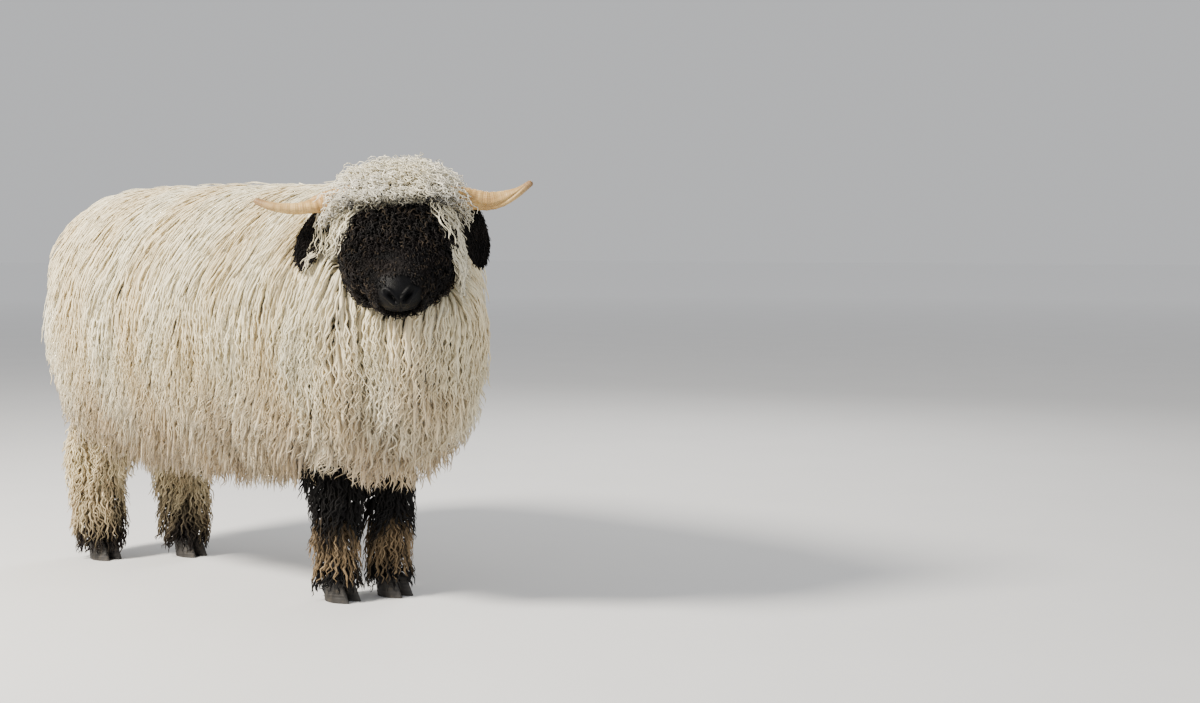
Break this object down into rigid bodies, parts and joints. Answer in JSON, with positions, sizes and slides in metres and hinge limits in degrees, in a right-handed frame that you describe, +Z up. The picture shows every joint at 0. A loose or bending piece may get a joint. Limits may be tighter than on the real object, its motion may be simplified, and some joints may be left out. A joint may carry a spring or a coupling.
{
  "type": "blacknose sheep",
  "caption": "Standing horned ewe in a long full fleece, with a black woolly face, curly topknot, dark ears and knees, head turned to one side.",
  "frame": {"origin": "on the floor, under the middle of the whole sheep's extent in X and Y", "axes": "the sheep faces -Y with its head turned towards -X, its left side is towards +X, +Z is up"},
  "size_m": [0.5772, 1.2496, 0.8599],
  "materials": {
    "fleece": "cream wool",
    "leg_wool": "brown and black wool",
    "black_wool": "black wool and skin",
    "horn": "horn",
    "eye": "wet",
    "hoof": "dark horn"
  },
  "bodies": {
    "root": {"ear_left": "black_wool", "ear_right": "black_wool", "eye_left": "eye", "eye_right": "eye", "head": "black_wool", "hoof_front_left": "hoof", "hoof_front_right": "hoof", "hoof_hind_left": "hoof", "hoof_hind_right": "hoof", "horn_left": "horn", "horn_right": "horn", "leg_front_left": "leg_wool", "leg_front_right": "leg_wool", "leg_hind_left": "leg_wool", "leg_hind_right": "leg_wool", "neck": "fleece", "tail": "fleece", "topknot": "fleece", "torso": "fleece"}
  },
  "joints": []
}
